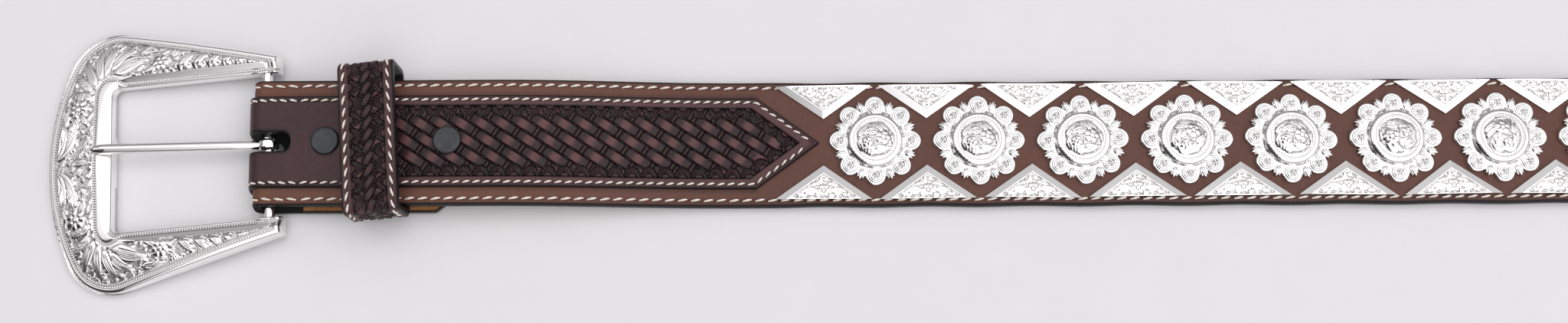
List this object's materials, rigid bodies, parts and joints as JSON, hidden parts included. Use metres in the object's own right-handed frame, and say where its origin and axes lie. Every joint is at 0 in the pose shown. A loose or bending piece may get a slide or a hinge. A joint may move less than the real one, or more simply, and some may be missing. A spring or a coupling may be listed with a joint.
{
  "type": "western belt with open buckle",
  "caption": "Straight-laid stitched leather western belt with tooled end overlays, berry conchos, triangular plates, sliding keeper and engraved open buckle with tongue.",
  "frame": {"origin": "centre of the footprint, on the surface that the belt lies on", "axes": "+X along the strap from the buckle to the tip, +Y across the strap, +Z out of the dressed face"},
  "size_m": [1.0265, 0.08, 0.0173],
  "materials": {
    "strap_leather": "semi-matt dyed leather with black painted edges",
    "lining_leather": "matt natural lining",
    "overlay_leather": "antiqued and tooled, semi-gloss",
    "thread": "waxed thread",
    "silver": "bright silver plate, engraved",
    "steel": "satin",
    "snap_black": "dark gunmetal"
  },
  "bodies": {
    "strap": {"outer_strap": "strap_leather", "lining_strap": "lining_leather", "buckle_end_overlay": "overlay_leather", "tip_end_overlay": "overlay_leather", "fold_wrap": "strap_leather", "fold_overlay": "overlay_leather", "edge_stitching": "thread", "overlay_stitching": "thread", "tip_overlay_stitching": "thread", "upper_plates": "silver", "lower_plates": "silver", "concho_screws": "steel", "snap_cap_1": "snap_black", "snap_socket_1": "steel", "snap_cap_2": "snap_black", "snap_socket_2": "steel", "concho_01": "silver", "concho_02": "silver", "concho_03": "silver", "concho_04": "silver", "concho_05": "silver", "concho_06": "silver", "concho_07": "silver", "concho_08": "silver", "concho_09": "silver", "concho_10": "silver", "concho_11": "silver", "concho_12": "silver", "concho_13": "silver", "concho_14": "silver", "concho_15": "silver", "concho_16": "silver", "concho_17": "silver", "concho_18": "silver"},
    "turnback": {"turnback_flap": "strap_leather", "flap_facing": "overlay_leather", "snap_stud_1": "steel", "snap_stud_2": "steel", "snap_eyelet_1": "snap_black", "snap_eyelet_2": "snap_black"},
    "keeper": {"keeper_loop": "overlay_leather", "keeper_stitching": "thread", "keeper_staple": "steel"},
    "buckle": {"buckle_frame": "silver", "buckle_bar": "silver"},
    "tongue": {"tongue": "silver"}
  },
  "joints": [
    {"name": "turnback_open", "type": "hinge", "parent": "strap", "child": "turnback", "pos_m": [-0.44679, 0.00421, 0.00495], "axis": [-0.0558, 0.9984, 0], "range_deg": [0, 60], "deforming": ["fold_wrap", "fold_overlay"]},
    {"name": "keeper_slide", "type": "slide", "parent": "strap", "child": "keeper", "axis": [1, 0, 0], "range_m": [-0.0008, 0.0065]},
    {"name": "buckle_pivot", "type": "hinge", "parent": "strap", "child": "buckle", "pos_m": [-0.44624, 0.00421, 0.00495], "axis": [-0.0906, 0.9959, 0], "range_deg": [-70, 40]},
    {"name": "tongue_pivot", "type": "hinge", "parent": "buckle", "child": "tongue", "pos_m": [-0.44624, 0.00421, 0.00495], "axis": [-0.0906, 0.9959, 0], "range_deg": [0, 80]}
  ]
}
